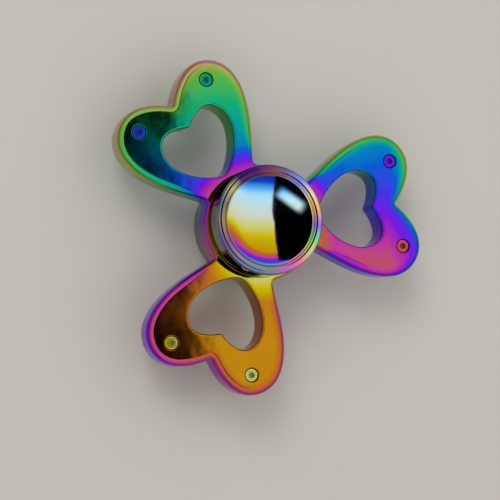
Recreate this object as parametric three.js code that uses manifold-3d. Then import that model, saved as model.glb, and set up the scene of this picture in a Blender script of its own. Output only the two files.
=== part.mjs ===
// A three-winged fidget spinner: a cast rotor with three open hearts round a ball bearing, held between
// two dished finger caps that screw together through the bearing's bore.
// Millimetres. Z is the spin axis, pointing at the front cap. The origin is the middle of the bearing.
// The first wing points along +Y.
import * as THREE from "three";
import { mergeVertices } from "three/addons/utils/BufferGeometryUtils.js";
import Module from "manifold-3d";

const wasm = await Module();
wasm.setup();

// ---- driving dimensions -------------------------------------------------------------------------

const wings = 3;
const firstWing = Math.PI / 2; // angle of the first wing's centre line

// The bearing is the common skate size. Everything at the hub follows from its bore and outside.
const bearing = { bore: 8, outer: 22, balls: 7, edge: 0.4 };
const gap = 0.1; // between pieces that seat on or in each other
const grooveGap = 0.15; // between a ball and the rings' grooves
const runGap = 0.25; // between pieces that move past each other

// The rotor is one casting, as thick as the bearing is wide.
const rotor = {
  hubWall: 2.35,
  edgeRound: 1.5, // on the outline, front and back
  holeChamfer: 0.45, // on the heart openings
  boreChamfer: 0.5,
  rootFillet: 1.3, // where a heart's flank runs into the hub
};

// A heart is set out along its wing: u runs outwards from the spin axis, v sideways.
const wing = {
  reach: 38, // u at the top of a lobe
  halfWidth: 16.6,
  sideRim: 7.65, // metal left beside the opening
  lobeRim: 9.1, // metal left beyond the opening's lobes
  tipRim: 0.4, // metal left between the hub's outside and the opening's tip
};

// Each lobe carries one socket screw in a counterbore on the front face.
const lobeScrew = {
  headRadius: 1.5,
  headHeight: 0.9,
  sunk: 0.15, // the head's top lies this far below the face
  shankRadius: 1,
  length: 3.8,
  socketRadius: 0.7,
  socketDepth: 0.6,
};

// Finger caps: the front one has a threaded post, the back one a threaded barrel.
const cap = {
  overhang: 1.5, // past the bearing's outside
  standOff: 0.8, // underside above the rotor's face
  rimHeight: 6.5, // rim above the rotor's face
  rimLand: 0.7, // flat ring on top of the rim
  rimRound: 0.9,
  rimDrop: 0.55, // from the land down to the dish's edge
  rimSlope: 0.85, // width of that drop
  dishSphere: 48,
  recessDepth: 2.6,
};
const threadRadius = 2.5;

// ---- sizes that follow --------------------------------------------------------------------------

const boreRadius = bearing.bore / 2;
const outerRadius = bearing.outer / 2;
const section = outerRadius - boreRadius; // a ring pair's height, and the bearing's width
const half = section / 2;
const pitchRadius = (boreRadius + outerRadius) / 2; // through the ball centres
const ballRadius = 0.2835 * section;
const grooveRadius = ballRadius + grooveGap;
const landOffset = 0.207 * section; // each ring's land stands this far from the pitch circle
const innerLand = pitchRadius - landOffset;
const outerLand = pitchRadius + landOffset;
const grooveAngle = Math.acos(landOffset / grooveRadius);

// Shields and their clips sit in steps at the outer ring's two faces.
const shieldThick = 0.25;
const shieldSeat = half - 0.107 * section;
const shieldStep = outerRadius - 0.2 * section;
const clipBand = 0.5;
const clipOpening = THREE.MathUtils.degToRad(14);

const face = half;
const hubBore = outerRadius + gap;
const hubRadius = outerRadius + rotor.hubWall;

const outerHeart = {
  rootHalf: 0.517 * hubRadius, // v where the flank leaves the hub
  flankAngle: THREE.MathUtils.degToRad(36.9),
  flankStraight: 2.6,
  flankPull: 6.6,
  halfWidth: wing.halfWidth,
  widestAt: wing.reach - 7.6,
  shoulderPull: 6,
  reach: wing.reach,
  lobeAt: 0.554 * wing.halfWidth, // v at the top of a lobe
  notch: wing.reach - 4.7, // u at the notch between the lobes
  lobePull: 3.6,
  notchPull: 2,
};
const openHalf = wing.halfWidth - wing.sideRim;
const openHeart = {
  tip: hubRadius + wing.tipRim,
  tipPull: 2.2,
  halfWidth: openHalf,
  widestAt: outerHeart.widestAt - 6.2,
  shoulderPull: 5.2,
  reach: wing.reach - wing.lobeRim,
  lobeAt: 0.592 * openHalf,
  notch: wing.reach - wing.lobeRim - 1.95,
  lobePull: 1.7,
  notchPull: 1.2,
};
const screwSpot = { u: outerHeart.notch, v: outerHeart.lobeAt + 0.8 };

const capRadius = outerRadius + cap.overhang;
const bossRadius = innerLand - 0.65;
const bossSeat = half + gap;
const postReach = 0.8 * section; // the post runs this far down into the barrel
const drillSpare = 1.2; // the barrel's hole runs on this far past the post

// ---- finish colours -----------------------------------------------------------------------------

const finish = (color, roughness, metalness = 1) => () =>
  new THREE.MeshStandardMaterial({ color, roughness, metalness });
const platedBlue = finish(0x2f6bd8, 0.12);
const platedGold = finish(0xd0a020, 0.12);
const ringSteel = finish(0xb9bcc0, 0.22);
const ballSteel = finish(0xd6d8da, 0.08);
const shieldSteel = finish(0x8f9397, 0.35);
const nylon = finish(0x23262a, 0.55, 0);

// ---- solids -------------------------------------------------------------------------------------

const ROUND = 40; // facets round a large turned piece
const SMALL_ROUND = 16;

// A geometry as a manifold-3d solid.
function solid(geometry) {
  const g = geometry.clone();
  g.deleteAttribute("normal");
  g.deleteAttribute("uv");
  const merged = mergeVertices(g, 1e-4);
  return new wasm.Manifold(
    new wasm.Mesh({
      numProp: 3,
      vertProperties: new Float32Array(merged.attributes.position.array),
      triVerts: new Uint32Array(merged.index.array),
    }),
  );
}

// A manifold-3d solid as a flat-shaded geometry.
function geometryOf(made) {
  const { numProp, numVert, vertProperties, triVerts } = made.getMesh();
  const position = new Float32Array(numVert * 3);
  for (let i = 0; i < numVert; i++) {
    position.set(vertProperties.subarray(i * numProp, i * numProp + 3), i * 3);
  }
  const indexed = new THREE.BufferGeometry()
    .setAttribute("position", new THREE.BufferAttribute(position, 3))
    .setIndex(new THREE.BufferAttribute(new Uint32Array(triVerts), 1));
  const flat = indexed.toNonIndexed();
  flat.computeVertexNormals();
  return flat;
}

// Turns [radius, z] pairs about the Z axis. The pairs run anticlockwise round the section as seen with
// the radius to the right and z up, and a section off the axis closes on itself.
function turned(pairs, segments = ROUND) {
  const profile = pairs.map(([r, z]) => new THREE.Vector2(r, z));
  return new THREE.LatheGeometry(profile, segments).rotateX(Math.PI / 2);
}

// Points of a circular arc in the section plane, both ends included.
function arc(centreR, centreZ, radius, from, to, steps) {
  return Array.from({ length: steps + 1 }, (_, i) => {
    const a = from + ((to - from) * i) / steps;
    return [centreR + radius * Math.cos(a), centreZ + radius * Math.sin(a)];
  });
}

// ---- bearing ------------------------------------------------------------------------------------

function innerRing() {
  const e = bearing.edge;
  const groove = arc(pitchRadius, 0, grooveRadius, Math.PI + grooveAngle, Math.PI - grooveAngle, 4);
  return turned([
    [boreRadius + e, -half],
    [innerLand - e / 2, -half],
    [innerLand, -half + e / 2],
    ...groove,
    [innerLand, half - e / 2],
    [innerLand - e / 2, half],
    [boreRadius + e, half],
    [boreRadius, half - e],
    [boreRadius, -half + e],
    [boreRadius + e, -half],
  ]);
}

function outerRing() {
  const e = bearing.edge;
  const groove = arc(pitchRadius, 0, grooveRadius, grooveAngle, -grooveAngle, 4);
  return turned([
    [shieldStep, -half],
    [outerRadius - e, -half],
    [outerRadius, -half + e],
    [outerRadius, half - e],
    [outerRadius - e, half],
    [shieldStep, half],
    [shieldStep, shieldSeat],
    [outerLand, shieldSeat],
    ...groove,
    [outerLand, -shieldSeat],
    [shieldStep, -shieldSeat],
    [shieldStep, -half],
  ]);
}

function ballCentre(i) {
  const a = firstWing + (2 * Math.PI * i) / bearing.balls;
  return [pitchRadius * Math.cos(a), pitchRadius * Math.sin(a), 0];
}

function ball() {
  return new THREE.SphereGeometry(ballRadius, 10, 7);
}

// A snap-in crown cage: one ring, with a round pocket for each ball, open at the back.
function crownCage() {
  const inner = innerLand + runGap;
  const outer = outerLand - runGap;
  const top = ballRadius + runGap + 0.07 * section;
  const bottom = -0.15 * section;
  let made = solid(
    turned([
      [inner, bottom],
      [outer, bottom],
      [outer, top],
      [inner, top],
      [inner, bottom],
    ]),
  );
  for (let i = 0; i < bearing.balls; i++) {
    const pocket = new THREE.SphereGeometry(ballRadius + runGap, 10, 8).translate(...ballCentre(i));
    made = made.subtract(solid(pocket));
  }
  return geometryOf(made);
}

// A pressed shield, lying on its seat in the outer ring.
function shieldDisc() {
  const inner = innerLand + runGap;
  const outer = shieldStep - gap;
  const low = shieldSeat + gap;
  const t = shieldThick;
  return turned([
    [inner, low],
    [outer, low],
    [outer, low + t],
    [inner, low + t],
    [inner, low],
  ]);
}

// The wire clip that snaps in over a shield, open over a small angle.
function wireClip() {
  const outer = shieldStep - gap;
  const low = shieldSeat + gap + shieldThick + gap;
  const high = half - gap / 2;
  const ring = solid(
    turned([
      [outer - clipBand, low],
      [outer, low],
      [outer, high],
      [outer - clipBand, high],
      [outer - clipBand, low],
    ]),
  );
  const reach = outer + 1;
  const wedge = new THREE.Shape()
    .moveTo(0, 0)
    .lineTo(reach * Math.cos(clipOpening / 2), -reach * Math.sin(clipOpening / 2))
    .lineTo(reach * Math.cos(clipOpening / 2), reach * Math.sin(clipOpening / 2));
  const slot = new THREE.ExtrudeGeometry(wedge, { depth: 1, bevelEnabled: false }).translate(0, 0, low - 0.3);
  return geometryOf(ring.subtract(solid(slot)));
}

// ---- rotor --------------------------------------------------------------------------------------

// One side of a heart, from its root or tip to its notch, as three cubic curves with v positive.
function heartSide(h, start, startControl) {
  const bend = 0.5523; // makes a quarter ellipse of a cubic
  const { halfWidth, widestAt, reach, lobeAt, notch } = h;
  return [
    [start, startControl, [widestAt - h.shoulderPull, halfWidth], [widestAt, halfWidth]],
    [
      [widestAt, halfWidth],
      [widestAt + bend * (reach - widestAt), halfWidth],
      [reach, lobeAt + bend * (halfWidth - lobeAt)],
      [reach, lobeAt],
    ],
    [[reach, lobeAt], [reach, lobeAt - h.lobePull], [notch + h.notchPull, h.notchPull], [notch, 0]],
  ];
}

// The place in the XY plane of a point set out along a wing.
function onWing(k, [u, v]) {
  const a = firstWing + (2 * Math.PI * k) / wings;
  return [u * Math.cos(a) - v * Math.sin(a), u * Math.sin(a) + v * Math.cos(a)];
}

// Draws a heart on a path: out along its -v side to the notch, and back along its +v side.
function drawHeart(path, k, side) {
  const mirrored = ([u, v]) => onWing(k, [u, -v]);
  for (const [, b, c, d] of side) {
    path.bezierCurveTo(...mirrored(b), ...mirrored(c), ...mirrored(d));
  }
  for (const [a, b, c] of [...side].reverse()) {
    path.bezierCurveTo(...onWing(k, c), ...onWing(k, b), ...onWing(k, a));
  }
}

// The rotor's whole outline: hub arcs between the wings, a fillet into each flank, and the hearts.
function rotorOutline() {
  const h = outerHeart;
  const corner = [Math.sqrt(hubRadius ** 2 - h.rootHalf ** 2), h.rootHalf];
  const along = (d) => [corner[0] + d * Math.cos(h.flankAngle), corner[1] + d * Math.sin(h.flankAngle)];
  const flankStart = along(h.flankStraight);
  const side = heartSide(h, flankStart, along(h.flankStraight + h.flankPull));
  const cornerAngle = Math.atan2(corner[1], corner[0]);
  const filletAngle = cornerAngle + rotor.rootFillet / hubRadius;
  const onHub = [hubRadius * Math.cos(filletAngle), hubRadius * Math.sin(filletAngle)];
  const onFlank = along(rotor.rootFillet);
  const flip = ([u, v]) => [u, -v];
  const outline = new THREE.Shape();
  for (let k = 0; k < wings; k++) {
    const wingAngle = firstWing + (2 * Math.PI * k) / wings;
    if (k === 0) outline.moveTo(...onWing(0, flip(onHub)));
    outline.quadraticCurveTo(...onWing(k, flip(corner)), ...onWing(k, flip(onFlank)));
    outline.lineTo(...onWing(k, flip(flankStart)));
    drawHeart(outline, k, side);
    outline.lineTo(...onWing(k, onFlank));
    outline.quadraticCurveTo(...onWing(k, corner), ...onWing(k, onHub));
    const nextWing = wingAngle + (2 * Math.PI) / wings;
    outline.absarc(0, 0, hubRadius, wingAngle + filletAngle, nextWing - filletAngle, false);
  }
  return outline;
}

function openHeartShape(k) {
  const h = openHeart;
  const side = heartSide(h, [h.tip, 0], [h.tip, h.tipPull]);
  const shape = new THREE.Shape();
  shape.moveTo(...onWing(k, [h.tip, 0]));
  drawHeart(shape, k, side);
  return shape;
}

// The tool that cuts one open heart, flared at both faces for the chamfer.
function openHeartCutter(k) {
  const shape = openHeartShape(k);
  const through = new THREE.ExtrudeGeometry(shape, {
    depth: 2 * face + 2,
    bevelEnabled: false,
    curveSegments: 6,
  }).translate(0, 0, -face - 1);
  const flare = new THREE.ExtrudeGeometry(shape, {
    depth: 0.5,
    bevelThickness: rotor.holeChamfer,
    bevelSize: rotor.holeChamfer,
    bevelSegments: 1,
    curveSegments: 6,
  });
  const front = flare.clone().translate(0, 0, face);
  const back = flare.clone().translate(0, 0, -face - 0.5);
  return solid(through).add(solid(front)).add(solid(back));
}

function boreCutter() {
  const c = rotor.boreChamfer;
  return solid(
    turned([
      [0, -face - 1],
      [hubBore + c + 1, -face - 1],
      [hubBore, -face + c],
      [hubBore, face - c],
      [hubBore + c + 1, face + 1],
      [0, face + 1],
    ]),
  );
}

const headSeat = face - lobeScrew.sunk - lobeScrew.headHeight - gap;

function screwPlace(k, side) {
  return onWing(k, [screwSpot.u, side * screwSpot.v]);
}

// The counterbore and blind hole for one lobe screw.
function screwPocket(k, side) {
  const s = lobeScrew;
  const holeEnd = headSeat - s.length - gap;
  return solid(
    turned(
      [
        [0, holeEnd],
        [s.shankRadius + gap, holeEnd],
        [s.shankRadius + gap, headSeat],
        [s.headRadius + gap, headSeat],
        [s.headRadius + gap, face - s.sunk],
        [s.headRadius + gap + s.sunk + 1, face + 1],
        [0, face + 1],
      ],
      SMALL_ROUND,
    ).translate(...screwPlace(k, side), 0),
  );
}

function rotorBody() {
  const r = rotor.edgeRound;
  const plate = new THREE.ExtrudeGeometry(rotorOutline(), {
    depth: 2 * (face - r),
    bevelThickness: r,
    bevelSize: r,
    bevelOffset: -r,
    bevelSegments: 2,
    curveSegments: 6,
  }).translate(0, 0, -face + r);
  let made = solid(plate).subtract(boreCutter());
  for (let k = 0; k < wings; k++) {
    made = made.subtract(openHeartCutter(k));
    for (const side of [-1, 1]) made = made.subtract(screwPocket(k, side));
  }
  return geometryOf(made);
}

// A low-headed screw with a hexagon socket, standing on the Z axis with the top of its head at z = 0.
function screw() {
  const s = lobeScrew;
  const body = solid(
    turned(
      [
        [0, -s.headHeight - s.length],
        [s.shankRadius - 0.2, -s.headHeight - s.length],
        [s.shankRadius, -s.headHeight - s.length + 0.2],
        [s.shankRadius, -s.headHeight],
        [s.headRadius, -s.headHeight],
        [s.headRadius, -0.3],
        [s.headRadius - 0.3, 0],
        [0, 0],
      ],
      SMALL_ROUND,
    ),
  );
  const socket = new THREE.CylinderGeometry(s.socketRadius, s.socketRadius, 2 * s.socketDepth, 6).rotateX(
    Math.PI / 2,
  );
  return geometryOf(body.subtract(solid(socket)));
}

// ---- finger caps --------------------------------------------------------------------------------

const capUnder = face + cap.standOff;
const rimTop = face + cap.rimHeight;
const dishEdgeZ = rimTop - cap.rimDrop;

// The cap's section above its boss, from the underside round the rim to the middle of the dish.
function capShell() {
  const { rimRound, rimLand, dishSphere } = cap;
  const radius = capRadius;
  const landOuter = radius - rimRound;
  const dishRadius = landOuter - rimLand - cap.rimSlope;
  const recessInner = bossRadius + 1;
  const recessOuter = radius - 1.6;
  const dishAngle = Math.asin(dishRadius / dishSphere);
  const dishCentre = dishEdgeZ + dishSphere * Math.cos(dishAngle);
  const dish = arc(0, dishCentre, dishSphere, -Math.PI / 2 + dishAngle, -Math.PI / 2, 4);
  return [
    [bossRadius, capUnder],
    [recessInner, capUnder],
    [recessInner, capUnder + cap.recessDepth],
    [recessOuter, capUnder + cap.recessDepth],
    [recessOuter, capUnder],
    [radius - 0.5, capUnder],
    [radius, capUnder + 0.5],
    ...arc(landOuter, rimTop - rimRound, rimRound, 0, Math.PI / 2, 3),
    [landOuter - rimLand, rimTop],
    ...dish,
  ];
}

function frontCap() {
  const postEnd = half - postReach;
  return turned([
    [0, postEnd],
    [threadRadius - 0.4, postEnd],
    [threadRadius - gap, postEnd + 0.3],
    [threadRadius - gap, bossSeat],
    [bossRadius, bossSeat],
    ...capShell(),
  ]);
}

// Drawn facing the front, as the front cap is, and turned over by the caller.
function backCap() {
  const barrelEnd = -half + gap;
  const barrelRadius = boreRadius - gap;
  const drillEnd = postReach - half + drillSpare;
  return turned([
    [0, drillEnd],
    [threadRadius, drillEnd - 0.4],
    [threadRadius, barrelEnd + 0.3],
    [threadRadius + 0.3, barrelEnd],
    [barrelRadius - 0.3, barrelEnd],
    [barrelRadius, barrelEnd + 0.3],
    [barrelRadius, bossSeat],
    [bossRadius, bossSeat],
    ...capShell(),
  ]);
}

// ---- assembly -----------------------------------------------------------------------------------

const spinner = new THREE.Group();

function add(name, geometry, material) {
  const mesh = new THREE.Mesh(geometry, material());
  mesh.name = name;
  spinner.add(mesh);
  return mesh;
}

add("rotor_body", rotorBody(), platedBlue);

for (let k = 0; k < wings; k++) {
  for (const side of [-1, 1]) {
    const number = 2 * k + (side === 1 ? 2 : 1);
    const mesh = add(`lobe_screw_${number}`, screw(), platedBlue);
    mesh.position.set(...screwPlace(k, side), face - lobeScrew.sunk);
  }
}

add("bearing_outer_ring", outerRing(), ringSteel);
add("bearing_inner_ring", innerRing(), ringSteel);
for (let i = 0; i < bearing.balls; i++) {
  add(`bearing_ball_${i + 1}`, ball(), ballSteel).position.set(...ballCentre(i));
}
add("ball_cage", crownCage(), nylon);

add("front_shield", shieldDisc(), shieldSteel);
add("back_shield", shieldDisc(), shieldSteel).rotation.x = Math.PI;
add("front_shield_clip", wireClip(), ringSteel);
add("back_shield_clip", wireClip(), ringSteel).rotation.x = Math.PI;

add("front_cap", frontCap(), platedGold);
add("back_cap", backCap(), platedGold).rotation.x = Math.PI;

export default spinner;
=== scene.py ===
import math

import bmesh
import bpy
import numpy as np
from mathutils import Matrix, Vector, geometry


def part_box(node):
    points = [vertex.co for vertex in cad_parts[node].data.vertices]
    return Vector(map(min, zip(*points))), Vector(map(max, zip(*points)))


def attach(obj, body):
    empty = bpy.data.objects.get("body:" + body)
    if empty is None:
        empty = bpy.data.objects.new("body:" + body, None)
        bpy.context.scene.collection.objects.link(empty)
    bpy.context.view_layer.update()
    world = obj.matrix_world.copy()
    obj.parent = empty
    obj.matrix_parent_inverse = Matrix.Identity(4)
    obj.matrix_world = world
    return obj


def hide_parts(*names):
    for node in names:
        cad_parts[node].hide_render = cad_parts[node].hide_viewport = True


bl_info = {
    "name": "Heart-wing fidget spinner",
    "version": (1, 0, 0),
    "blender": (4, 5, 0),
    "location": "View3D > Sidebar > Spinner",
    "description": "Builds the finished surfaces of a fidget spinner with three open hearts round a bearing",
    "category": "Object",
}

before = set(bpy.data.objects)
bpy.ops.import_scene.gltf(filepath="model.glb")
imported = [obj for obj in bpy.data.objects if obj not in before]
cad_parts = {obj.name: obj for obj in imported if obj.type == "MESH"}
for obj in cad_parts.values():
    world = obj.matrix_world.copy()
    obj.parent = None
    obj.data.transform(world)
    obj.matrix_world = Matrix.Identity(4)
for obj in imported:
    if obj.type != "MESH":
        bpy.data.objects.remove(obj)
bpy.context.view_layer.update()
MM = 0.001
TAU = 2 * math.pi

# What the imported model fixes, in millimetres.
BEARING_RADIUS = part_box("bearing_outer_ring")[1].x / MM
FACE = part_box("rotor_body")[1].z / MM
RIM_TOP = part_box("front_cap")[1].z / MM
CAP_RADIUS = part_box("front_cap")[1].x / MM
REST_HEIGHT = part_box("back_cap")[0].z / MM

# Sizes that its boxes don't show, in millimetres.
BORE_RADIUS = 4.0
PITCH_RADIUS = 7.5  # through the ball centres
BALL_RADIUS = 1.9845
BALLS = 7
GROOVE_RADIUS = BALL_RADIUS + 0.15
GROOVE_REACH = 46.0  # how far a ring's groove runs up each side of a ball, in degrees
RING_BEVEL = 0.4
SEAT_GAP = 0.1  # between pieces that seat on or in each other
HEAD_RADIUS = 1.5
HEAD_HEIGHT = 0.9
HEAD_SUNK = 0.15  # below the rotor's face
SHANK_RADIUS = 1.0
STAND_OFF = 0.8  # the caps' underside above the rotor's face


# ---- sizes and colours that can be changed ----------------------------------------------------------------


def length(text, default, about):
    return bpy.props.FloatProperty(name=text, description=about, default=default, min=0.01, precision=3)


def tint(text, rgb, about):
    """A colour property from 0-255 screen values."""
    return bpy.props.FloatVectorProperty(
        name=text, description=about, subtype="COLOR_GAMMA", size=3, min=0, max=1, default=[c / 255 for c in rgb]
    )


class SpinnerSizes(bpy.types.PropertyGroup):
    """Edge and surface sizes in millimetres."""

    edge_inset: length("Edge inset", 1.5, "How far the rounding of a heart's outline runs in over its face, mm")
    hub_inset: length("Hub edge inset", 1.2, "The same at the hub, mm")
    edge_drop: length("Edge drop", 1.5, "How far the rounding of the rotor's outline runs down its side, mm")
    opening_edge: length("Opening edge", 0.45, "Rounded edge of the heart openings, mm")
    corner: length("Corner blend", 0.28, "How much the sharp corners of the outline are eased, mm")
    step: length("Point spacing", 0.45, "Longest distance between points on an outline, mm")
    dish_sphere: length("Dish radius", 48.0, "Radius of the hollow in a finger cap, mm")


class SpinnerColours(bpy.types.PropertyGroup):
    """Colours of the plain materials."""

    steel: tint("Bearing steel", (196, 198, 202), "Ground rings and polished balls")
    sheet: tint("Shield steel", (150, 153, 158), "Pressed bearing shields")
    nylon: tint("Cage nylon", (52, 55, 60), "The moulded ball cage")
    floor: tint("Floor", (200, 198, 190), "The surface that the spinner lies on")


# ---- node maths -------------------------------------------------------------------------------------------


class Wire:
    """A value in a node tree. Arithmetic on wires adds Math nodes."""

    def __init__(self, tree, socket):
        self.tree = tree
        self.socket = socket

    def math(self, operation, *others):
        node = self.tree.node("ShaderNodeMath", {"operation": operation})
        for socket, value in zip(node.inputs, (self, *others)):
            self.tree.feed(socket, value)
        return Wire(self.tree, node.outputs[0])

    def __add__(self, other):
        return self.math("ADD", other)

    def __sub__(self, other):
        return self.math("SUBTRACT", other)

    def __mul__(self, other):
        return self.math("MULTIPLY", other)

    def __truediv__(self, other):
        return self.math("DIVIDE", other)

    def __pow__(self, other):
        return self.math("POWER", other)

    __radd__ = __add__
    __rmul__ = __mul__

    def __rsub__(self, other):
        return self * -1.0 + other

    def between(self, low, high):
        """Rises in a straight line from 0 at low to 1 at high, and is level outside them."""
        node = self.tree.node("ShaderNodeMapRange", {"clamp": True}, {0: self, 1: low, 2: high})
        return Wire(self.tree, node.outputs[0])

    def smooth(self, low, high):
        """0 below low, 1 above high, and a smooth step between them."""
        node = self.tree.node("ShaderNodeMapRange", {"interpolation_type": "SMOOTHSTEP"}, {0: self, 1: low, 2: high})
        return Wire(self.tree, node.outputs[0])


class Tree:
    """A node tree with short ways to add nodes."""

    def __init__(self, nodes_and_links):
        self.made = nodes_and_links
        self.made.nodes.clear()

    def feed(self, socket, value):
        if isinstance(value, Wire):
            self.made.links.new(value.socket, socket)
        elif isinstance(value, bpy.types.NodeSocket):
            self.made.links.new(value, socket)
        else:
            socket.default_value = value

    def node(self, kind, settings=None, inputs=None):
        """Adds a node, makes its settings, then fills its inputs by name or number."""
        made = self.made.nodes.new(kind)
        for key, value in (settings or {}).items():
            setattr(made, key, value)
        for key, value in (inputs or {}).items():
            self.feed(made.inputs[key], value)
        return made

    def wire(self, kind, settings=None, inputs=None, output=0):
        return Wire(self, self.node(kind, settings, inputs).outputs[output])

    def split(self, vector):
        made = self.node("ShaderNodeSeparateXYZ", None, {0: vector})
        return [Wire(self, socket) for socket in made.outputs]

    def along(self, vector, direction):
        """The dot product of a vector with a fixed direction."""
        made = self.node("ShaderNodeVectorMath", {"operation": "DOT_PRODUCT"}, {0: vector, 1: direction})
        return Wire(self, made.outputs["Value"])

    def noise(self, vector, scale, detail=2.0, roughness=0.5):
        return self.wire(
            "ShaderNodeTexNoise", None, {"Vector": vector, "Scale": scale, "Detail": detail, "Roughness": roughness}
        )

    def ramp(self, factor, stops):
        made = self.node("ShaderNodeValToRGB", None, {0: factor})
        band = made.color_ramp.elements
        while len(band) < len(stops):
            band.new(0.5)
        for element, (place, colour) in zip(band, stops):
            element.position = place
            element.color = colour
        return Wire(self, made.outputs[0])

    def mix(self, factor, first, second):
        """From the first colour at factor 0 to the second at 1."""
        made = self.node("ShaderNodeMix", {"data_type": "RGBA"}, {0: factor, 6: first, 7: second})
        return Wire(self, made.outputs[2])


def linear(rgb):
    """A scene colour from 0-255 screen values."""
    c = np.asarray(rgb, float) / 255
    straight = np.where(c <= 0.04045, c / 12.92, ((c + 0.055) / 1.055) ** 2.4)
    return (*map(float, straight), 1.0)


def scene_colour(prop):
    return linear([255 * c for c in prop])


# ---- finishes ---------------------------------------------------------------------------------------------

# The film's colours as it grows thicker, by the place on the scale that its thickness takes.
FILM = [
    (0.00, (140, 100, 60)),
    (0.07, (90, 30, 130)),
    (0.13, (14, 36, 140)),
    (0.18, (10, 70, 190)),
    (0.24, (84, 176, 250)),
    (0.29, (176, 226, 240)),
    (0.34, (205, 212, 200)),
    (0.39, (204, 206, 118)),
    (0.44, (200, 186, 4)),
    (0.48, (192, 150, 8)),
    (0.53, (188, 112, 24)),
    (0.58, (186, 88, 62)),
    (0.63, (188, 66, 142)),
    (0.67, (176, 42, 172)),
    (0.72, (118, 26, 224)),
    (0.77, (64, 52, 232)),
    (0.82, (10, 88, 214)),
    (0.86, (4, 142, 182)),
    (0.90, (18, 174, 118)),
    (0.95, (84, 182, 68)),
    (1.01, (164, 176, 84)),
    (1.06, (184, 156, 112)),
    (1.15, (200, 136, 128)),
]
FILM_SPAN = FILM[-1][0]

# Over the wings the film grows thicker along this direction, from the wing at 210 degrees to the one along +Y.
THICKER = Vector((0.6345, 0.7729, 0.0))
SIDEWAYS = Vector((0.7729, -0.6345, 0.0))


def new_material(name):
    """A new material, its tree and the object's own coordinates in it."""
    material = bpy.data.materials.new(name)
    material.use_nodes = True
    tree = Tree(material.node_tree)
    return material, tree, tree.wire("ShaderNodeTexCoord", None, None, "Object")


def finish_shader(tree, inputs, normal=None):
    """Puts one Principled shader on the tree's output."""
    shader = tree.node("ShaderNodeBsdfPrincipled", None, inputs)
    if normal is not None:
        tree.feed(shader.inputs["Normal"], normal)
    tree.node("ShaderNodeOutputMaterial", None, {"Surface": shader.outputs[0]})


def polish_marks(tree, place, low, high):
    """Roughness from low to high: cloudy handling marks with fine buffing lines in them."""
    stretched = tree.wire("ShaderNodeMapping", None, {"Vector": place, "Rotation": (0, 0, 0.7), "Scale": (1, 9, 1)})
    lines = tree.noise(stretched, 900.0, 3.0, 0.6)
    clouds = tree.noise(place, 90.0, 3.0, 0.55).smooth(0.38, 0.72)
    return (lines * 0.45 + clouds * 0.55) * (high - low) + low


def casting_waves(tree, place, strength):
    """A faint waviness that a polished casting keeps, with fine pits."""
    waves = tree.noise(place, 160.0, 2.0, 0.5)
    pits = tree.noise(place, 2600.0, 2.0, 0.6).smooth(0.62, 0.8)
    height = waves * 0.8 - pits * 0.05
    return tree.wire("ShaderNodeBump", None, {"Strength": strength, "Distance": 0.0004, "Height": height})


def film_colour(tree, thickness):
    stops = [(place / FILM_SPAN, linear(rgb)) for place, rgb in FILM]
    return tree.ramp(thickness / FILM_SPAN, stops)


def wing_thickness(tree, place):
    """The film on the rotor and its screws: thickest on the wing along +Y, nearly level over the wing at 210
    degrees, and thinner close to the hub."""
    up = tree.along(place, THICKER) / MM
    side = tree.along(place, SIDEWAYS) / MM
    radius = tree.wire("ShaderNodeVectorMath", {"operation": "LENGTH"}, {0: place}, "Value") / MM
    rise = up.between(-26, -16) * 0.015 + up.between(-16, 12) * 0.285 + up.between(12, 28) * 0.1
    wander = tree.noise(place, 60.0, 2.0) - 0.5
    ends = up.between(28, 38) * 0.1 + side.between(31, 36) * 0.08 + side.between(-12, -24) * 0.04
    return 0.49 + rise + ends - radius.between(18.5, 13) * 0.16 + wander * 0.045


def rotor_film():
    """Plating on the rotor. The film grows thicker towards every edge, as the rim attribute does."""
    material, tree, place = new_material("rotor_plating")
    rim = tree.wire("ShaderNodeAttribute", {"attribute_name": "rim"}, None, "Fac")
    colour = film_colour(tree, wing_thickness(tree, place) + rim * 0.19)
    inputs = {"Base Color": colour, "Metallic": 1.0, "Roughness": polish_marks(tree, place, 0.03, 0.1)}
    finish_shader(tree, inputs, casting_waves(tree, place, 0.045))
    return material


# The colours met on the way round a cap's rim, by the share of a turn, and the one on its side wall. The rim's ramp
# is partly the film's colours and partly painted reflection: it holds the highlights and dark reflections that the
# rim shows.
RIM = [
    (0.00, (150, 145, 95)),
    (0.07, (130, 100, 135)),
    (0.14, (135, 135, 170)),
    (0.20, (110, 145, 155)),
    (0.25, (118, 140, 142)),
    (0.30, (190, 108, 184)),
    (0.355, (244, 132, 158)),
    (0.41, (206, 232, 130)),
    (0.445, (104, 236, 140)),
    (0.487, (150, 118, 246)),
    (0.54, (255, 196, 74)),
    (0.59, (250, 234, 178)),
    (0.64, (126, 156, 250)),
    (0.70, (112, 100, 118)),
    (0.75, (118, 66, 66)),
    (0.805, (56, 22, 92)),
    (0.86, (36, 36, 92)),
    (0.90, (196, 190, 120)),
    (0.95, (95, 128, 110)),
    (1.00, (150, 145, 95)),
]
# painted reflection: the grey-green of the caps' side walls stands in for the bright surroundings that they reflect
SIDE_WALL_REFLECTION = (124, 134, 130)


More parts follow.
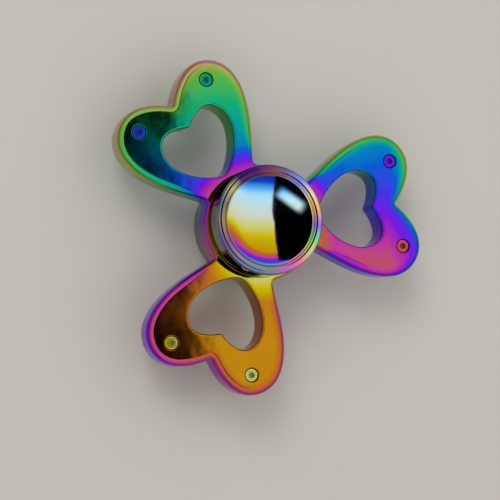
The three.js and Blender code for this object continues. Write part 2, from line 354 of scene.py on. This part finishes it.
def cap_film(name):
    """Plating on a finger cap. Across the dish the film runs from thin to thick, with a quick rise near one side of
    its edge. Round the rim the colour runs through a ramp that is partly the film's colours and partly painted
    reflection, and the wall below takes a plain grey-green painted reflection."""
    material, tree, place = new_material(name)
    x, y, z = tree.split(place)
    up = tree.along(place, THICKER) / MM
    side = tree.along(place, SIDEWAYS) / MM
    radius = (x * x + y * y).math("SQRT") / MM
    wander = tree.noise(place, 70.0, 2.0) - 0.5
    lean = (up * -0.1 - side * 0.01).math("MAXIMUM", 0.0)
    level = 0.35 - up * 0.0128 - up.between(6, 10) * 0.1 + up.between(1, -4) * 0.05
    dish = level + side.between(-5, -10) * 0.04 + radius.between(7.2, 10.6) * lean * 0.42 + wander * 0.03
    turn = up.math("ARCTAN2", side) / TAU + 0.5
    # partly painted reflection: the rim ramp holds painted highlights and dark reflections as well as film colours
    round_rim = tree.ramp(turn + wander * 0.02, [(place, linear(rgb)) for place, rgb in RIM])
    across_rim = film_colour(tree, 0.66 + (radius - 11.3) * 0.16 + wander * 0.05)
    rim = tree.mix(0.15, round_rim, across_rim)
    below = z.math("ABSOLUTE") / MM
    # painted reflection: below the rim the colour turns to the side wall's painted grey-green
    rim = tree.mix(below.smooth(RIM_TOP - 0.8, RIM_TOP - 2.4), rim, linear(SIDE_WALL_REFLECTION))
    colour = tree.mix(radius.smooth(9.7, 10.4), film_colour(tree, dish), rim)
    inputs = {"Base Color": colour, "Metallic": 1.0, "Roughness": polish_marks(tree, place, 0.025, 0.08)}
    finish_shader(tree, inputs, casting_waves(tree, place, 0.05))
    return material


def screw_film():
    """Plating on the lobe screws: thinner than on the rotor round them. Their sockets are rougher, and their colour
    is darkened there as painted shade.
    """
    material, tree, place = new_material("screw_plating")
    height = tree.split(place)[2] / MM
    speckle = tree.noise(place, 400.0, 2.0) - 0.5
    socket_shade_and_dullness = 1.0 - height.smooth(FACE - 0.7, FACE - 0.3)
    thinner = 0.09 - (tree.along(place, THICKER) / MM).between(12, 28) * 0.05
    plating = film_colour(tree, wing_thickness(tree, place) - thinner + speckle * 0.08)
    # painted shade: inside the socket the colour is darkened towards a near black (38, 34, 40)
    colour = tree.mix(socket_shade_and_dullness * 0.6, plating, linear((38, 34, 40)))
    # the same mask makes the socket rougher, a real dull finish
    rough = polish_marks(tree, place, 0.1, 0.24) + socket_shade_and_dullness * 0.25
    finish_shader(tree, {"Base Color": colour, "Metallic": 1.0, "Roughness": rough}, casting_waves(tree, place, 0.04))
    return material


def steel(name, rgb, low, high, ring_marks):
    """Bright steel, with a roughness from low to high. Turned pieces show fine marks that follow the spin
    axis, closer together where ring_marks is larger."""
    material, tree, place = new_material(name)
    x, y, z = tree.split(place)
    radius = (x * x + y * y).math("SQRT")
    across = tree.wire("ShaderNodeCombineXYZ", None, {0: radius * ring_marks, 1: z * ring_marks, 2: x * 2.0})
    marks = tree.noise(across, 60.0, 3.0, 0.6)
    soil = tree.noise(place, 400.0, 3.0).smooth(0.5, 0.75)
    colour = tree.mix(soil * 0.3, rgb, [c * 0.55 for c in rgb[:3]] + [1.0])
    rough = marks * (high - low) + low + soil * 0.08
    bump = tree.wire("ShaderNodeBump", None, {"Strength": 0.15, "Distance": 0.00005, "Height": marks})
    finish_shader(tree, {"Base Color": colour, "Metallic": 1.0, "Roughness": rough}, bump)
    return material


def cage_nylon(rgb):
    """Moulded nylon: dull, faintly mottled, with a fine grain."""
    material, tree, place = new_material("cage_nylon")
    grain = tree.noise(place, 3000.0, 2.0)
    mottle = tree.noise(place, 350.0, 2.0)
    colour = tree.mix(mottle, rgb, [c * 1.6 for c in rgb[:3]] + [1.0])
    bump = tree.wire("ShaderNodeBump", None, {"Strength": 0.3, "Distance": 0.00003, "Height": grain})
    finish_shader(tree, {"Base Color": colour, "Roughness": grain * 0.2 + 0.42}, bump)
    return material


def floor_finish(rgb):
    """A plain matt surface with the faintest mottling."""
    material, tree, place = new_material("floor")
    mottle = tree.noise(place, 30.0, 3.0)
    colour = tree.mix(mottle * 0.25, rgb, [c * 0.86 for c in rgb[:3]] + [1.0])
    finish_shader(tree, {"Base Color": colour, "Roughness": mottle * 0.1 + 0.55})
    return material


# ---- surfaces ---------------------------------------------------------------------------------------------

FLAT_RIM = 0.09  # the rim attribute away from every edge


class Shell:
    """Gathers grids of points in millimetres and joins them into one welded mesh, with a rim value at each
    point that says how close it is to an edge."""

    def __init__(self):
        self.points = []
        self.rims = []
        self.faces = []
        self.flat = []
        self.count = 0

    def take(self, points, faces, flat=False, rim=FLAT_RIM):
        self.points.append(points)
        self.rims.append(np.broadcast_to(rim, len(points)))
        self.faces.extend((faces + self.count).tolist())
        self.flat.extend([flat] * len(faces))
        self.count += len(points)

    def grid(self, points, flip=False, rim=None):
        """Takes points[row, step] as a surface whose steps close on themselves. With the steps anticlockwise
        and the rows going up, its faces point away from the middle, unless it is flipped. rim is a value for
        each row."""
        rows, steps = points.shape[:2]
        index = np.arange(rows * steps).reshape(rows, steps)
        a, b = index[:-1], index[1:]
        quads = np.stack([a, np.roll(a, -1, 1), np.roll(b, -1, 1), b], -1).reshape(-1, 4)
        values = np.repeat(rim if rim is not None else np.full(rows, FLAT_RIM), steps)
        self.take(points.reshape(-1, 3), quads[:, ::-1] if flip else quads, rim=values)

    def sheet(self, rings, height, up):
        """Fills a flat face between an outer ring and the rings of its holes. The rings' points are joined into
        triangles, and those whose middle a straight line leaves through an even number of edges are dropped."""
        starts = np.cumsum([0] + [len(ring) for ring in rings])
        turns = [np.arange(a, b) for a, b in zip(starts[:-1], starts[1:])]
        edges = np.concatenate([np.column_stack([turn, np.roll(turn, -1)]) for turn in turns])
        flat = np.concatenate([ring[:, 0] + 1j * ring[:, 1] for ring in rings])
        spots = [Vector(xy) for xy in np.column_stack([flat.real, flat.imag]).tolist()]
        joined = geometry.delaunay_2d_cdt(spots, edges.tolist(), [], 0, 1e-7)
        points = np.array([spot[:] for spot in joined[0]])
        tris = np.array(joined[2])
        a, b, c = (points[tris[:, k]] for k in range(3))
        area = np.cross(b - a, c - a)
        middle = (a + b + c) / 3
        start, end = flat[edges[:, 0]], flat[edges[:, 1]]
        over = (start.imag > middle[:, 1:]) != (end.imag > middle[:, 1:])
        rise = np.where(end.imag == start.imag, 1.0, end.imag - start.imag)
        crossing = start.real + (middle[:, 1:] - start.imag) * (end.real - start.real) / rise
        inside = (over & (middle[:, :1] < crossing)).sum(1) % 2 == 1
        wrong = (area > 0) != up
        tris[wrong] = tris[wrong][:, ::-1]
        solid = np.column_stack([points, np.full(len(points), height)])
        self.take(solid, tris[inside & (np.abs(area) > 1e-9)], flat=True)

    def build(self, name, material, sharp=28.0):
        """Makes the mesh object: welded, smooth, with edges over the sharp angle kept crisp."""
        mesh = bpy.data.meshes.new(name)
        mesh.from_pydata((np.concatenate(self.points) * MM).tolist(), [], self.faces)
        mesh.polygons.foreach_set("use_smooth", np.logical_not(self.flat))
        mesh.attributes.new("rim", "FLOAT", "POINT").data.foreach_set("value", np.concatenate(self.rims))
        welded = bmesh.new()
        welded.from_mesh(mesh)
        bmesh.ops.remove_doubles(welded, verts=welded.verts, dist=2e-7)
        welded.to_mesh(mesh)
        welded.free()
        mesh.set_sharp_from_angle(angle=math.radians(sharp))
        mesh.materials.append(material)
        mesh.validate()
        made = bpy.data.objects.new(name, mesh)
        bpy.context.scene.collection.objects.link(made)
        return made


def turned(profile, steps, centre=(0.0, 0.0), spokes=None):
    """A grid turned about an upright axis: radius and height from the profile's rows, angle from its steps.
    spokes, if given, is a factor on the radius for each row and step."""
    radius, height = np.asarray(profile, float).T
    angle = np.arange(steps) * TAU / steps
    r = radius[:, None] * (1 if spokes is None else spokes)
    x = centre[0] + r * np.cos(angle)
    y = centre[1] + r * np.sin(angle)
    return np.stack([x, y, np.broadcast_to(height[:, None], x.shape)], -1)


def arc(centre, radius, start, end, steps):
    """Points on a circular arc of a section, ends included: centre + radius (cos a, sin a)."""
    a = np.radians(np.linspace(start, end, steps + 1))
    return np.column_stack([centre[0] + radius * np.cos(a), centre[1] + radius * np.sin(a)]).tolist()


def flipped(half):
    """A section's other half: the same points upside down and in reverse."""
    return [[radius, -height] for radius, height in reversed(half)]


def eased(profile, radius, steps=4):
    """Rounds each corner of a section between its ends: a quadratic curve replaces the corner, starting and
    ending the given distance from it, or less where a side is short."""
    p = np.asarray(profile, float)
    before, at, after = p[:-2], p[1:-1], p[2:]
    back, ahead = before - at, after - at
    back_length = np.linalg.norm(back, axis=1)
    ahead_length = np.linalg.norm(ahead, axis=1)
    reach = np.minimum(radius, 0.45 * np.minimum(back_length, ahead_length))
    first = at + back * (reach / back_length)[:, None]
    last = at + ahead * (reach / ahead_length)[:, None]
    t = np.linspace(0, 1, steps + 1)[None, :, None]
    curve = (1 - t) ** 2 * first[:, None] + 2 * t * (1 - t) * at[:, None] + t**2 * last[:, None]
    return np.concatenate([p[:1], curve.reshape(-1, 2), p[-1:]])


# ---- the rotor's outline ----------------------------------------------------------------------------------

WINGS = 3
HUB_RADIUS = BEARING_RADIUS + 2.35
HUB_BORE = BEARING_RADIUS + SEAT_GAP
HUB_BEVEL = 0.5
ROOT_HALF = 6.9  # half the width where a heart meets the hub
ROOT_FILLET = 1.3
FLANK = math.radians(36.9)  # how far a flank opens away from the wing's middle line
SCREW_AT = (33.3, 10.0)  # out along the wing and to one side


def cubic(a, b, c, d, steps=160):
    """Points on a cubic curve from a towards d, with handles b and c. Points are complex numbers."""
    t = np.arange(steps) / steps
    return (1 - t) ** 3 * a + 3 * t * (1 - t) ** 2 * b + 3 * t**2 * (1 - t) * c + t**3 * d


def line(a, b, steps=60):
    return a + (b - a) * np.arange(steps) / steps


def half_heart(start, handle, half_width, widest, shoulder, reach, lobe, notch, lobe_pull, notch_pull):
    """One side of a heart on its wing, u + vi, from its root or tip to the notch between its lobes: a flank
    curve, a quarter ellipse over the shoulder, and a curve down into the notch."""
    bend = 0.5523
    side = complex(widest, half_width)
    top = complex(reach, lobe)
    return np.concatenate(
        [
            cubic(start, handle, side - shoulder, side),
            cubic(side, side + bend * (reach - widest), top + 1j * bend * (half_width - lobe), top),
            cubic(top, top - 1j * lobe_pull, complex(notch + notch_pull, notch_pull), complex(notch, 0)),
        ]
    )


def there_and_back(side):
    """A wing's whole path from one of its sides: out along -v and back along +v."""
    return np.concatenate([side.conj(), side[:0:-1]])


def wing_turn(k):
    return np.exp(1j * (math.pi / 2 + TAU * k / WINGS))


def rotor_outline():
    """The closed outline: for each wing a fillet off the hub, the flank, the heart and the same back, then
    an arc of the hub to the next wing."""
    corner = complex(math.sqrt(HUB_RADIUS**2 - ROOT_HALF**2), ROOT_HALF)
    direction = np.exp(1j * FLANK)
    flank_start = corner + 2.6 * direction
    heart = half_heart(
        flank_start,
        corner + 9.2 * direction,
        half_width=16.6,
        widest=30.4,
        shoulder=6.0,
        reach=38.0,
        lobe=9.2,
        notch=33.3,
        lobe_pull=3.6,
        notch_pull=2.0,
    )
    start = np.angle(corner) + ROOT_FILLET / HUB_RADIUS
    on_hub = HUB_RADIUS * np.exp(1j * start)
    on_flank = corner + ROOT_FILLET * direction
    fillet = cubic(on_hub, (on_hub + 2 * corner) / 3, (on_flank + 2 * corner) / 3, on_flank, 60)
    wing = there_and_back(np.concatenate([fillet, line(on_flank, flank_start), heart]))
    hub = HUB_RADIUS * np.exp(1j * np.linspace(start, TAU / WINGS - start, 120, endpoint=False))
    return np.concatenate([np.concatenate([wing, hub]) * wing_turn(k) for k in range(WINGS)])


def heart_opening(k):
    """The closed outline of one heart opening."""
    tip = 13.75
    heart = half_heart(
        tip,
        tip + 2.2j,
        half_width=8.95,
        widest=24.2,
        shoulder=5.2,
        reach=28.9,
        lobe=5.3,
        notch=26.95,
        lobe_pull=1.7,
        notch_pull=1.2,
    )
    return there_and_back(heart) * wing_turn(k)


def loop(path, ease, spacing, bend=math.radians(5)):
    """Points and outward directions on a closed path. The path is stepped evenly, its corners are eased by
    fading its fine Fourier terms, and it is stepped again so that no step is longer than the spacing or
    turns more than the bend."""
    closed = np.append(path, path[0])
    run = np.append(0, np.cumsum(np.abs(np.diff(closed))))
    n = 8192
    stops = np.arange(n) * run[-1] / n
    even = np.interp(stops, run, closed.real) + 1j * np.interp(stops, run, closed.imag)
    wave = np.fft.fftfreq(n, 1 / n) * TAU / run[-1]
    smooth = np.fft.ifft(np.fft.fft(even) * np.exp(-0.5 * (ease * wave) ** 2))
    ahead = np.roll(smooth, -1) - np.roll(smooth, 1)
    heading = np.unwrap(np.angle(ahead))
    turn = np.abs(np.gradient(heading))
    measure = np.cumsum(run[-1] / n / spacing + turn / bend)
    count = int(measure[-1])
    places = np.interp(np.arange(count) * measure[-1] / count, np.append(0, measure), np.arange(n + 1))
    index = np.arange(n + 1)
    wrapped = np.append(smooth, smooth[0])
    headings = np.append(heading, heading[0] + TAU)
    points = np.interp(places, index, wrapped.real) + 1j * np.interp(places, index, wrapped.imag)
    return points, -1j * np.exp(1j * np.interp(places, index, headings))


def carried(points, outward, profile, widen=1.0):
    """A grid from a section carried round a loop. Each section row is [distance outwards, height], and widen
    is a factor on the distance at each point of the loop."""
    out, height = np.asarray(profile, float).T
    at = points[None, :] + out[:, None] * (outward * widen)[None, :]
    return np.stack([at.real, at.imag, np.broadcast_to(height[:, None], at.shape)], -1)


def rounded_edge(inset, drop, steps, sign, apron=()):
    """Section of a plate's rounded edge from its back face to its front face: 70 degrees of an ellipse, so a
    soft crease is left at the face, and flat rows beyond it at the apron's distances. sign is -1 where the
    material lies inside the loop and 1 where it lies outside."""
    a = np.radians(np.linspace(0, 70, steps + 1))
    inwards = inset * (1 - np.cos(a)) / (1 - np.cos(a[-1]))
    rounding = np.column_stack([inwards, FACE - drop + drop * np.sin(a) / np.sin(a[-1])])
    level = np.array([[inset + d, FACE] for d in (0.05, *apron)])
    front = np.concatenate([rounding, level]) * [sign, 1]
    middle = np.array([[0.0, z] for z in np.linspace(-FACE + drop, FACE - drop, 5)[1:-1]])
    return np.concatenate([front[::-1] * [1, -1], middle, front])


def rim_share(section, peak, fade):
    """The rim attribute for each row of an edge's section: the peak at the side, fading over the face to its
    level away from edges."""
    far = np.exp(-np.abs(section[:, 0]) / fade)
    return FLAT_RIM + (peak - FLAT_RIM) * (far - far.min()) / (1 - far.min())


# ---- operators --------------------------------------------------------------------------------------------


class Maker:
    """What the operators share."""

    bl_options = {"REGISTER", "UNDO"}

    def place(self, piece, node, body, slot):
        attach(piece, body)
        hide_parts(node)


class SPINNER_OT_rotor(Maker, bpy.types.Operator):
    """Builds the cast rotor: hub, hearts, openings and screw seats"""

    bl_idname = "spinner.rotor"
    bl_label = "Rotor"

    def execute(self, context):
        s = context.scene.spinner_sizes
        shell = Shell()
        fronts, backs = [], []
        points, outward = loop(rotor_outline(), s.corner, s.step)
        section = rounded_edge(s.edge_inset, s.edge_drop, 10, -1, (0.4, 0.8, 1.2))
        far = np.clip((np.abs(points) - HUB_RADIUS) / 9, 0, 1)
        hub_share = s.hub_inset / s.edge_inset * 0.45
        outer = carried(points, outward, section, hub_share + (1 - hub_share) * far * far * (3 - 2 * far))
        shell.grid(outer, rim=rim_share(section, 1.0, 1.6))
        fronts.append(outer[-1])
        backs.append(outer[0])
        section = rounded_edge(s.opening_edge, s.opening_edge, 5, 1)
        for k in range(WINGS):
            points, outward = loop(heart_opening(k), s.corner * 2, s.step * 0.7)
            opening = carried(points, outward, section)
            shell.grid(opening, flip=True, rim=rim_share(section, 0.4, 0.3))
            fronts.append(opening[-1])
            backs.append(opening[0])
        mouth = HUB_BORE + HUB_BEVEL
        half_bore = [[mouth + 0.1, -FACE], [mouth, -FACE], [HUB_BORE, HUB_BEVEL - FACE]]
        bore = turned(eased(half_bore + flipped(half_bore), 0.12), 192)
        shell.grid(bore, flip=True)
        fronts.append(bore[-1])
        backs.append(bore[0])
        seat = FACE - HEAD_SUNK - HEAD_HEIGHT - SEAT_GAP
        bottom = seat - 3.9
        narrow = SHANK_RADIUS + SEAT_GAP
        wide = HEAD_RADIUS + SEAT_GAP
        pocket = [
            [0, bottom],
            [narrow, bottom],
            [narrow, seat],
            [wide, seat],
            [wide, FACE - HEAD_SUNK],
            [wide + 0.15, FACE],
            [wide + 0.23, FACE],
        ]
        for centre in screw_places():
            hole = turned(eased(pocket, 0.06), 72, centre)
            shell.grid(hole, flip=True)
            fronts.append(hole[-1])
        shell.sheet(fronts, FACE, True)
        shell.sheet(backs, -FACE, False)
        piece = shell.build("rotor_casting", rotor_film())
        self.place(piece, "rotor_body", "rotor", "rotor_plating")
        return {"FINISHED"}


def screw_places():
    """Centres of the six screws, in the order of their nodes."""
    u, v = SCREW_AT
    spots = [complex(u, side * v) * wing_turn(k) for k in range(WINGS) for side in (-1, 1)]
    return [(spot.real, spot.imag) for spot in spots]


class SPINNER_OT_screws(Maker, bpy.types.Operator):
    """Builds the six socket screws in the lobes"""

    bl_idname = "spinner.screws"
    bl_label = "Lobe screws"

    def execute(self, context):
        material = screw_film()
        top = FACE - HEAD_SUNK
        profile = np.array(
            [
                [0.0, top - 4.7],
                [0.85, top - 4.7],
                [SHANK_RADIUS, top - 4.5],
                [SHANK_RADIUS, top - HEAD_HEIGHT],
                [HEAD_RADIUS, top - HEAD_HEIGHT],
                [HEAD_RADIUS, top - 0.32],
                [HEAD_RADIUS - 0.1, top - 0.1],
                [1.2, top],
                [1.17, top],
                [0.85, top],
                [0.82, top],
                [0.72, top - 0.06],
                [0.72, top - 0.55],
                [0.0, top - 0.65],
            ]
        )
        steps = 72
        angle = np.arange(steps) * TAU / steps
        spokes = np.ones((len(profile), steps))
        spokes[9:13] = 0.9 / np.cos((angle + TAU / 12) % (TAU / 6) - TAU / 12)  # the socket's six flats
        for number, centre in enumerate(screw_places(), 1):
            shell = Shell()
            shell.grid(turned(profile, steps, centre, spokes))
            piece = shell.build(f"screw_{number}", material)
            self.place(piece, f"lobe_screw_{number}", "rotor", "screw_plating")
        return {"FINISHED"}


class SPINNER_OT_rings(Maker, bpy.types.Operator):
    """Builds the bearing's two ground rings"""

    bl_idname = "spinner.rings"
    bl_label = "Bearing rings"

    def execute(self, context):
        material = steel("ring_steel", scene_colour(context.scene.spinner_colours.steel), 0.14, 0.34, 40.0)
        middle = (PITCH_RADIUS, 0)
        bevelled = FACE - RING_BEVEL
        half_inner = [
            [BORE_RADIUS, 0.0],
            [BORE_RADIUS, -bevelled],
            [BORE_RADIUS + RING_BEVEL, -FACE],
            [5.85, -FACE],
            [6.05, -3.3],
        ]
        groove = arc(middle, GROOVE_RADIUS, 180 + GROOVE_REACH, 180 - GROOVE_REACH, 16)
        inner = half_inner + groove + flipped(half_inner)
        half_outer = [
            [BEARING_RADIUS, 0.0],
            [BEARING_RADIUS, bevelled],
            [BEARING_RADIUS - RING_BEVEL, FACE],
            [9.6, FACE],
            [9.6, 2.75],
            [8.95, 2.75],
        ]
        groove = arc(middle, GROOVE_RADIUS, GROOVE_REACH, -GROOVE_REACH, 16)
        outer = half_outer + groove + flipped(half_outer)
        for name, section, body in (
            ("bearing_inner_ring", inner, "finger_caps"),
            ("bearing_outer_ring", outer, "rotor"),
        ):
            shell = Shell()
            shell.grid(turned(section, 160))
            piece = shell.build(name.replace("bearing", "ground"), material)
            self.place(piece, name, body, "ring_steel")
        return {"FINISHED"}


class SPINNER_OT_balls(Maker, bpy.types.Operator):
    """Builds the balls and the crown cage that spaces them"""

    bl_idname = "spinner.balls"
    bl_label = "Balls and cage"

    def execute(self, context):
        colours = context.scene.spinner_colours
        material = steel("ball_steel", scene_colour(colours.steel), 0.04, 0.12, 4.0)
        centres = PITCH_RADIUS * np.exp(1j * (math.pi / 2 + np.arange(BALLS) * TAU / BALLS))
        ball = arc((0, 0), BALL_RADIUS, -90, 90, 24)
        for number, centre in enumerate(centres, 1):
            shell = Shell()
            shell.grid(turned(ball, 48, (centre.real, centre.imag)))
            piece = shell.build(f"ball_{number}", material)
            self.place(piece, f"bearing_ball_{number}", f"ball_{number}", "ball_steel")
        shell = Shell()
        shell.grid(self.cage(centres))
        piece = shell.build("crown_cage", cage_nylon(scene_colour(colours.nylon)), 40.0)
        self.place(piece, "ball_cage", "cage", "cage_nylon")
        return {"FINISHED"}

    def cage(self, centres):
        """A ring whose underside rises over each ball: its height there is that of a sphere a little larger
        than the ball, and elsewhere the ring runs down to its lower edge."""
        foot, crown = -1.07, 2.78
        pocket = BALL_RADIUS + 0.25
        radii = np.linspace(6.3, 8.7, 15)
        steps = BALLS * 60
        angle = np.arange(steps) * TAU / steps
        at = radii[:, None] * np.exp(1j * angle)[None, :]
        near = np.abs(at[..., None] - centres).min(-1)
        dome = np.sqrt(np.clip(pocket**2 - near**2, 0, None))
        low = np.where(near < pocket, dome, foot)
        top = np.full((1, steps), crown)
        heights = np.concatenate([top, low, top, top])
        rows = np.concatenate([at[:1], at, at[-1:], at[:1]])
        return np.stack([rows.real, rows.imag, heights], -1)


class SPINNER_OT_shields(Maker, bpy.types.Operator):
    """Builds the bearing's shields and the wire clips that hold them"""

    bl_idname = "spinner.shields"
    bl_label = "Shields and clips"

    def execute(self, context):
        colours = context.scene.spinner_colours
        sheet = steel("shield_steel", scene_colour(colours.sheet), 0.22, 0.45, 25.0)
        wire = steel("clip_steel", scene_colour(colours.steel), 0.18, 0.3, 10.0)
        disc = [[6.3, 2.98], [6.3, 2.85], [9.5, 2.85], [9.5, 3.1], [8.6, 3.1], [8.35, 3.02], [6.5, 3.02], [6.3, 2.98]]
        for side, sign in (("front", 1), ("back", -1)):
            shell = Shell()
            points = turned(disc, 160) * [1, sign, sign]
            shell.grid(points)
            piece = shell.build(f"{side}_shield_disc", sheet)
            self.place(piece, f"{side}_shield", "rotor", "shield_steel")
            shell = Shell()
            self.clip(shell, sign)
            piece = shell.build(f"{side}_clip_wire", wire)
            self.place(piece, f"{side}_shield_clip", "rotor", "ring_steel")
        return {"FINISHED"}

    def clip(self, shell, sign):
        """A round-cornered wire section carried along an arc that stays open by 14 degrees, closed at each end
        by drawing the section in to its middle."""
        middle_radius, middle_height = 9.25, 3.325
        corner = np.arange(20) * TAU / 20
        across = 0.245 * np.sign(np.cos(corner)) * np.sqrt(np.abs(np.cos(corner)))
        height = 0.12 * np.sign(np.sin(corner)) * np.sqrt(np.abs(np.sin(corner)))
        run = np.radians(np.linspace(7.2, 352.8, 220))
        turn = np.concatenate([run[:1], run, run[-1:]])
        swell = np.ones(len(turn))
        swell[[0, -1]] = 0.0
        r = middle_radius + across[None, :] * swell[:, None]
        z = middle_height + height[None, :] * swell[:, None]
        points = np.stack([r * np.cos(turn)[:, None], r * np.sin(turn)[:, None], z], -1) * [1, sign, sign]
        shell.grid(points, flip=True)


class SPINNER_OT_caps(Maker, bpy.types.Operator):
    """Builds the two dished finger caps"""

    bl_idname = "spinner.caps"
    bl_label = "Finger caps"

    def execute(self, context):
        sphere = context.scene.spinner_sizes.dish_sphere
        post = [[0, -2.1], [2.1, -2.1], [2.4, -1.8], [2.4, 3.6], [5.4, 3.6]]
        barrel = [[0, 3.3], [2.5, 2.9], [2.5, -3.1], [2.8, -3.4], [3.6, -3.4], [3.9, -3.1], [3.9, 3.6], [5.4, 3.6]]
        for side, stem, sign in (("front", post, 1), ("back", barrel, -1)):
            shell = Shell()
            rows = np.concatenate([eased(stem + self.underside(), 0.1)[:-1], self.top(sphere)])
            shell.grid(turned(rows, 224) * [1, sign, sign])
            piece = shell.build(f"{side}_finger_cap", cap_film(f"{side}_cap_plating"), 35.0)
            self.place(piece, f"{side}_cap", "finger_caps", "cap_plating")
        return {"FINISHED"}

    def underside(self):
        """The underside from its boss to the foot of the side wall, with a ring-shaped recess between them."""
        under = FACE + STAND_OFF
        recess = under + 2.6
        boss, wall = 6.4, 10.9
        return [
            [boss - 1.0, under],
            [boss, under],
            [boss, recess],
            [wall, recess],
            [wall, under],
            [CAP_RADIUS - 0.5, under],
            [CAP_RADIUS, under + 0.5],
            [CAP_RADIUS, under + 1.0],
        ]

    def top(self, sphere):
        """Up the side, round the rim in a quarter circle, over its flat land, down a soft S into the dish and
        along the dish's sphere to the axis."""
        rounding, drop = 0.9, 0.55
        land = CAP_RADIUS - 1.6
        dish = CAP_RADIUS - 2.45
        side = [[CAP_RADIUS, z] for z in np.linspace(FACE + 1.8, RIM_TOP - 1.0, 4)]
        shoulder = arc((CAP_RADIUS - rounding, RIM_TOP - rounding), rounding, 0, 90, 10)
        t = np.linspace(0.12, 1, 8)
        ease = t * t * (3 - 2 * t)
        fall = np.column_stack([land + (dish - land) * t, RIM_TOP - drop * ease])
        edge = math.degrees(math.asin(dish / sphere))
        centre = RIM_TOP - drop + sphere * math.cos(math.radians(edge))
        hollow = arc((0, centre), sphere, -90 + edge, -90, 26)[1:]
        hollow[-1][0] = 0.0
        return np.concatenate([side, shoulder, [[land, RIM_TOP]], fall, hollow])


class SPINNER_OT_stage(Maker, bpy.types.Operator):
    """Sets the floor, the soft studio light and the camera"""

    bl_idname = "spinner.stage"
    bl_label = "Floor, light and camera"

    def execute(self, context):
        self.floor(context)
        self.studio(context)
        self.lamp(context)
        self.camera(context)
        context.scene.view_settings.view_transform = "Standard"
        return {"FINISHED"}

    def floor(self, context):
        mesh = bpy.data.meshes.new("floor")
        reach = 4.0
        corners = np.array([[-1, -1], [1, -1], [1, 1], [-1, 1]]) * reach
        height = np.full((4, 1), REST_HEIGHT * MM - 0.0001)
        mesh.from_pydata(np.column_stack([corners, height]).tolist(), [], [(0, 1, 2, 3)])
        mesh.materials.append(floor_finish(scene_colour(context.scene.spinner_colours.floor)))
        floor = bpy.data.objects.new("floor", mesh)
        context.scene.collection.objects.link(floor)

    def studio(self, context):
        """A soft bright dome, darker low down and on one side, with a dark flag over the spinner and a soft
        slanting strip light in front of the flag."""
        world = bpy.data.worlds.new("studio")
        world.use_nodes = True
        context.scene.world = world
        tree = Tree(world.node_tree)
        ray = tree.wire("ShaderNodeTexCoord", None, None, "Generated")
        height = tree.split(ray)[2]
        across = tree.along(ray, SIDEWAYS).math("ARCTAN2", height) * (180 / math.pi)
        along = tree.along(ray, THICKER).math("ARCTAN2", height) * (180 / math.pi)

        def patch(left, right, low, high, soft):
            inside = across.smooth(left - soft, left + soft) * (1.0 - (across - right).smooth(-soft, soft))
            return inside * along.smooth(low - soft, low + soft) * (1.0 - along.smooth(high - soft, high + soft))

        flag = patch(-9.0, 15.9 - along.smooth(1.0, 8.0) * 0.9, -20.0, 26.0, 0.4)
        from_strip = (across - 6.6, along + 4.8)
        length = from_strip[0] * -0.842 + from_strip[1] * 0.538
        breadth = from_strip[0] * 0.538 + from_strip[1] * 0.842
        strip = (1.0 - length.math("ABSOLUTE").smooth(5.0, 9.5)) * (1.0 - breadth.math("ABSOLUTE").smooth(0.8, 4.0))
        dome = (height.smooth(-0.1, 0.75) * 0.58 + 0.42) * (1.0 - across.smooth(-20, -70) * 0.5)
        light = dome * (1.0 - flag) + flag * strip * 1.1
        background = tree.node("ShaderNodeBackground", None, {"Color": (1, 0.99, 0.97, 1), "Strength": light})
        tree.node("ShaderNodeOutputWorld", None, {"Surface": background.outputs[0]})

    def lamp(self, context):
        light = bpy.data.lights.new("soft_box", "AREA")
        light.shape = "RECTANGLE"
        light.size = 0.5
        light.size_y = 0.5
        light.energy = 3.0
        made = bpy.data.objects.new("soft_box", light)
        made.location = (0.1, 0.75, 0.8)
        made.visible_glossy = False  # it lights the pieces without a reflection of its own
        made.rotation_euler = (Vector((0, 0, 0)) - made.location).to_track_quat("-Z", "Y").to_euler()
        context.scene.collection.objects.link(made)

    def camera(self, context):
        """A long lens 409 mm away, leaning off the spin axis."""
        lens = bpy.data.cameras.new("camera")
        lens.sensor_width = 36
        lens.lens = 129.6
        lens.clip_start = 0.01
        lean = Matrix.Rotation(math.radians(-4.68), 3, "X") @ Matrix.Rotation(math.radians(17.34), 3, "Y")
        axes = Matrix.Rotation(math.radians(-39.25), 3, "Z") @ lean.transposed()
        made = bpy.data.objects.new("camera", lens)
        stand = axes @ Vector((-2.761, -6.313, 409.3)) + Vector((0, 0, FACE))
        made.matrix_world = Matrix.Translation(stand * MM) @ axes.to_4x4()
        context.scene.collection.objects.link(made)
        context.scene.camera = made


class SPINNER_PT_panel(bpy.types.Panel):
    """The spinner's sizes, colours and build steps"""

    bl_idname = "SPINNER_PT_panel"
    bl_label = "Fidget spinner"
    bl_space_type = "VIEW_3D"
    bl_region_type = "UI"
    bl_category = "Spinner"

    def draw(self, context):
        layout = self.layout
        for group in (context.scene.spinner_sizes, context.scene.spinner_colours):
            box = layout.box()
            for name in group.__annotations__:
                box.prop(group, name)
        for step in STEPS:
            layout.operator(step.bl_idname)


STEPS = (
    SPINNER_OT_rotor,
    SPINNER_OT_screws,
    SPINNER_OT_rings,
    SPINNER_OT_balls,
    SPINNER_OT_shields,
    SPINNER_OT_caps,
    SPINNER_OT_stage,
)
CLASSES = (SpinnerSizes, SpinnerColours, *STEPS, SPINNER_PT_panel)


def register():
    for cls in CLASSES:
        bpy.utils.register_class(cls)
    bpy.types.Scene.spinner_sizes = bpy.props.PointerProperty(type=SpinnerSizes)
    bpy.types.Scene.spinner_colours = bpy.props.PointerProperty(type=SpinnerColours)


def unregister():
    del bpy.types.Scene.spinner_colours
    del bpy.types.Scene.spinner_sizes
    for cls in reversed(CLASSES):
        bpy.utils.unregister_class(cls)


def main():
    register()
    bpy.ops.spinner.rotor()
    bpy.ops.spinner.screws()
    bpy.ops.spinner.rings()
    bpy.ops.spinner.balls()
    bpy.ops.spinner.shields()
    bpy.ops.spinner.caps()
    bpy.ops.spinner.stage()


if __name__ == "__main__":
    main()
